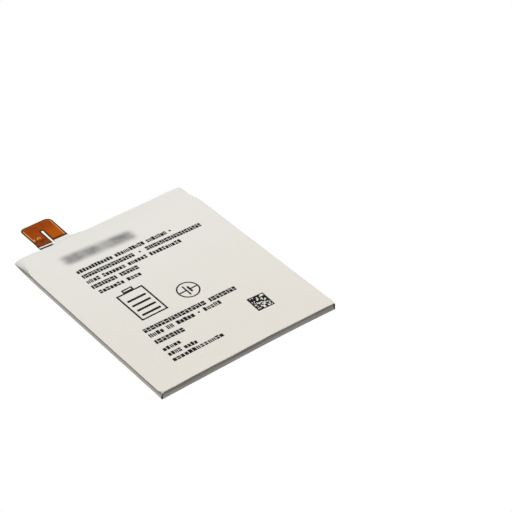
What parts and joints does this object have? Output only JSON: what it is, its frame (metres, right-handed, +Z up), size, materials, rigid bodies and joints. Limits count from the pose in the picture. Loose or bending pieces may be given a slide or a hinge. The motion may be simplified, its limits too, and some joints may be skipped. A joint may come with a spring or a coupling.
{
  "type": "pouch battery cell",
  "caption": "Flat rectangular lithium-polymer pouch pack in a white printed film wrap, with a hook-shaped flexible circuit tail that ends in a small board connector.",
  "frame": {"origin": "centre of the pack's back face, on the plane it rests on", "axes": "+X across the pack, +Y along the pack towards the flexible tail, +Z up out of the printed face"},
  "size_m": [0.0732, 0.1021, 0.0032],
  "materials": {
    "wrap_film": "satin white printed film",
    "laminate": "matt grey laminate foil",
    "seal_edge": "folded grey laminate edge",
    "cathode_foil": "dark coated foil",
    "anode_foil": "graphite-coated copper foil",
    "separator": "milky porous film",
    "tape": "amber insulating tape",
    "dark_tape": "black insulating tape",
    "foam": "closed-cell foam",
    "aluminium_tab": "rolled foil",
    "nickel": "rolled nickel",
    "seal_resin": "melted clear polymer",
    "board": "green solder mask",
    "chip_black": "moulded epoxy",
    "chip_ceramic": "fired ceramic",
    "polyimide": "amber polyimide film",
    "polyimide_dark": "dark polyimide patch",
    "copper": "rolled copper foil",
    "gold": "gold plating",
    "connector_black": "moulded polymer"
  },
  "bodies": {
    "pack": {"front_label": "wrap_film", "back_strip_left": "wrap_film", "back_strip_right": "wrap_film", "back_strip_bottom": "wrap_film", "end_flap_narrow": "wrap_film", "end_flap_wide": "wrap_film", "root_tape": "wrap_film", "pouch_cup": "laminate", "pouch_lid": "laminate", "side_seal_left": "seal_edge", "side_seal_right": "seal_edge", "cathode": "cathode_foil", "separator_inner": "separator", "anode": "anode_foil", "separator_outer": "separator", "winding_tape": "tape", "positive_tab": "aluminium_tab", "negative_tab": "nickel", "tab_seals": "seal_resin", "protection_board": "board", "weld_pads": "nickel", "protection_ic": "chip_black", "switch_transistor": "chip_black", "resistors": "chip_black", "capacitors": "chip_ceramic", "thermistor": "chip_black", "thermal_fuse": "nickel", "terrace_tape": "tape", "board_tape": "dark_tape", "foam_strip": "foam", "flex_base_root": "polyimide", "flex_copper_root": "copper", "flex_cover_root": "polyimide", "flex_root_bend": "polyimide"},
    "flex_tail": {"flex_base_bridge": "polyimide", "flex_copper_bridge": "copper", "flex_cover_bridge": "polyimide", "flex_leg_bend": "polyimide"},
    "connector_leg": {"flex_base_leg": "polyimide", "flex_copper_leg": "copper", "flex_cover_leg": "polyimide", "tip_stiffener": "polyimide_dark", "test_pads": "gold", "connector_housing": "connector_black", "connector_contacts": "gold", "connector_clips": "nickel"}
  },
  "joints": [
    {"name": "tail_bend", "type": "hinge", "parent": "pack", "child": "flex_tail", "pos_m": [-0.01565, 0.0485, 0.00199], "axis": [1, 0, 0], "range_deg": [-90, 90], "stiffness_Nm_per_rad": 0.0002, "deforming": ["flex_root_bend"]},
    {"name": "connector_leg_bend", "type": "hinge", "parent": "flex_tail", "child": "connector_leg", "pos_m": [-0.02208, 0.0518, 0.00199], "axis": [1, 0, 0], "range_deg": [-30, 30], "stiffness_Nm_per_rad": 0.0001, "deforming": ["flex_leg_bend"]}
  ]
}
